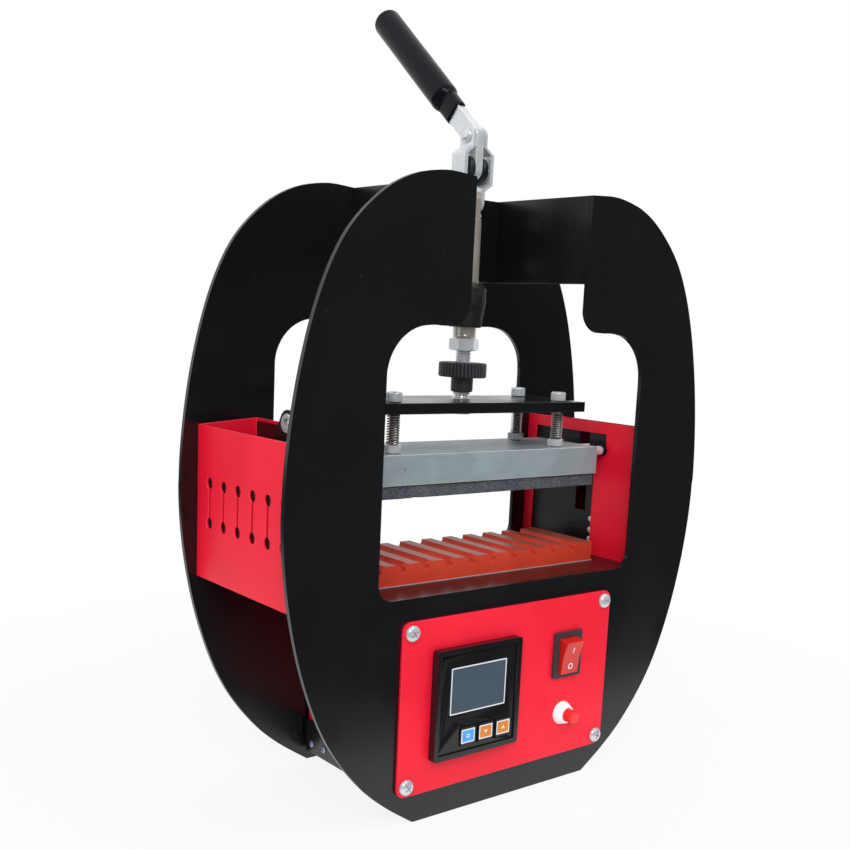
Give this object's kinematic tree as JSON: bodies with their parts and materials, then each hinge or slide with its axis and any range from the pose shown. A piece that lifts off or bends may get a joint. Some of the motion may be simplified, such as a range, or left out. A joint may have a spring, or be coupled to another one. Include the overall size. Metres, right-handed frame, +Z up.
{
  "type": "pen heat press",
  "caption": "Manual heat press for pens: round-sided twin-plate frame, vertical toggle lever, sprung aluminium heater block over a grooved silicone pad, guard boxes and a front control panel.",
  "frame": {"origin": "on the ground, under the middle of the whole press; the plunger's axis stands 13.7 mm in front of it", "axes": "+Z up along the plunger; -Y towards the user and the control panel; +X to the user's right"},
  "size_m": [0.3412, 0.182, 0.5116],
  "materials": {
    "black_powder_coat": "gloss powder coat with a faint orange peel",
    "red_paint": "satin red powder coat",
    "red_silicone": "matt moulded silicone",
    "zinc_plate": "bright zinc plate",
    "bright_steel": "turned and polished",
    "spring_steel": "bright wire",
    "black_casting": "rough black casting",
    "milled_aluminium": "milled, brushed lengthways",
    "grey_foam": "open-cell silicone foam, speckled",
    "black_vinyl": "dipped vinyl, satin",
    "charcoal_plastic": "matt, moulded",
    "black_plastic": "semi-gloss, moulded",
    "screen_grey": "unlit display window",
    "key_blue": "membrane key",
    "key_orange": "membrane key",
    "rocker_red": "clear red moulding",
    "button_white": "moulded",
    "button_red": "moulded",
    "relay_cream": "moulded"
  },
  "bodies": {
    "frame": {"base_cover": "red_paint", "base_tray": "black_powder_coat", "bed": "black_powder_coat", "button_bushing": "button_white", "clamp_body": "black_casting", "clamp_bolt_left_high": "zinc_plate", "clamp_bolt_left_low": "zinc_plate", "clamp_bolt_right_high": "zinc_plate", "clamp_bolt_right_low": "zinc_plate", "clamp_bracket": "black_powder_coat", "control_panel": "red_paint", "fork_pin": "zinc_plate", "front_plate": "black_powder_coat", "heat_guard_left": "black_powder_coat", "heat_guard_right": "black_powder_coat", "heater_relay": "relay_cream", "lead_bracket": "black_powder_coat", "mains_inlet": "black_plastic", "meter_case": "black_plastic", "meter_screen": "screen_grey", "panel_screw_left_high": "zinc_plate", "panel_screw_left_low": "zinc_plate", "panel_screw_right_high": "zinc_plate", "panel_screw_right_low": "zinc_plate", "rear_plate": "black_powder_coat", "rocker_housing": "black_plastic", "side_box_left": "red_paint", "side_box_right": "red_paint", "silicone_pad": "red_silicone"},
    "lever": {"lever_bar": "zinc_plate", "lever_grip": "black_vinyl", "lever_pin": "zinc_plate"},
    "links": {"link_strap_left": "zinc_plate", "link_strap_right": "zinc_plate"},
    "press_rod": {"plunger": "bright_steel", "jam_nut": "zinc_plate"},
    "head": {"top_plate": "black_powder_coat"},
    "adjuster": {"spindle": "zinc_plate", "pressure_knob": "charcoal_plastic"},
    "hot_block": {"heater_block": "milled_aluminium", "cartridge_heater": "bright_steel", "heater_boot": "black_vinyl", "head_foam": "grey_foam", "head_bolt_left_front": "zinc_plate", "head_bolt_left_rear": "zinc_plate", "head_bolt_right_front": "zinc_plate", "head_bolt_right_rear": "zinc_plate", "head_nut_left_front": "zinc_plate", "head_nut_left_rear": "zinc_plate", "head_nut_right_front": "zinc_plate", "head_nut_right_rear": "zinc_plate", "head_spring_left_front": "spring_steel", "head_spring_left_rear": "spring_steel", "head_spring_right_front": "spring_steel", "head_spring_right_rear": "spring_steel"},
    "rocker": {"rocker_paddle": "rocker_red"},
    "button": {"button_cap": "button_red"},
    "set_key": {"key_set": "key_blue"},
    "down_key": {"key_down": "key_orange"},
    "up_key": {"key_up": "key_orange"}
  },
  "joints": [
    {"name": "lever_swing", "type": "hinge", "parent": "frame", "child": "lever", "pos_m": [0, -0.0137, 0.4008], "axis": [1, 0, 0], "range_deg": [0, 180]},
    {"name": "link_swing", "type": "hinge", "parent": "lever", "child": "links", "pos_m": [0, -0.0137, 0.4208], "axis": [1, 0, 0], "range_deg": [-180, 0]},
    {"name": "rod_slide", "type": "slide", "parent": "frame", "child": "press_rod", "axis": [0, 0, 1], "range_m": [-0.04, 0]},
    {"name": "head_adjust", "type": "slide", "parent": "press_rod", "child": "head", "axis": [0, 0, 1], "range_m": [0, 0.006]},
    {"name": "knob_turn", "type": "hinge", "parent": "head", "child": "adjuster", "pos_m": [0, -0.0137, 0.2592], "axis": [0, 0, 1], "range_deg": [0, 1440]},
    {"name": "block_float", "type": "slide", "parent": "head", "child": "hot_block", "axis": [0, 0, 1], "range_m": [0, 0.006], "stiffness_N_per_m": 3400, "springref_m": -0.002, "deforming": ["head_spring_left_front", "head_spring_left_rear", "head_spring_right_front", "head_spring_right_rear"]},
    {"name": "rocker_tilt", "type": "hinge", "parent": "frame", "child": "rocker", "pos_m": [0.0487, -0.078, 0.0896], "axis": [1, 0, 0], "range_deg": [-24, 0]},
    {"name": "button_press", "type": "slide", "parent": "frame", "child": "button", "axis": [0, 1, 0], "range_m": [0, 0.0025], "stiffness_N_per_m": 800, "springref_m": -0.001},
    {"name": "set_key_press", "type": "slide", "parent": "frame", "child": "set_key", "axis": [0, 1, 0], "range_m": [0, 0.0005], "stiffness_N_per_m": 1500, "springref_m": -0.0003},
    {"name": "down_key_press", "type": "slide", "parent": "frame", "child": "down_key", "axis": [0, 1, 0], "range_m": [0, 0.0005], "stiffness_N_per_m": 1500, "springref_m": -0.0003},
    {"name": "up_key_press", "type": "slide", "parent": "frame", "child": "up_key", "axis": [0, 1, 0], "range_m": [0, 0.0005], "stiffness_N_per_m": 1500, "springref_m": -0.0003}
  ],
  "couplings": [
    {"joint": "link_swing", "follows": "lever_swing", "ratio": -1},
    {"joint": "rod_slide", "follows": "lever_swing", "m_per_rad": -0.012732},
    {"joint": "knob_turn", "follows": "head_adjust", "rad_per_m": 4188.8}
  ]
}
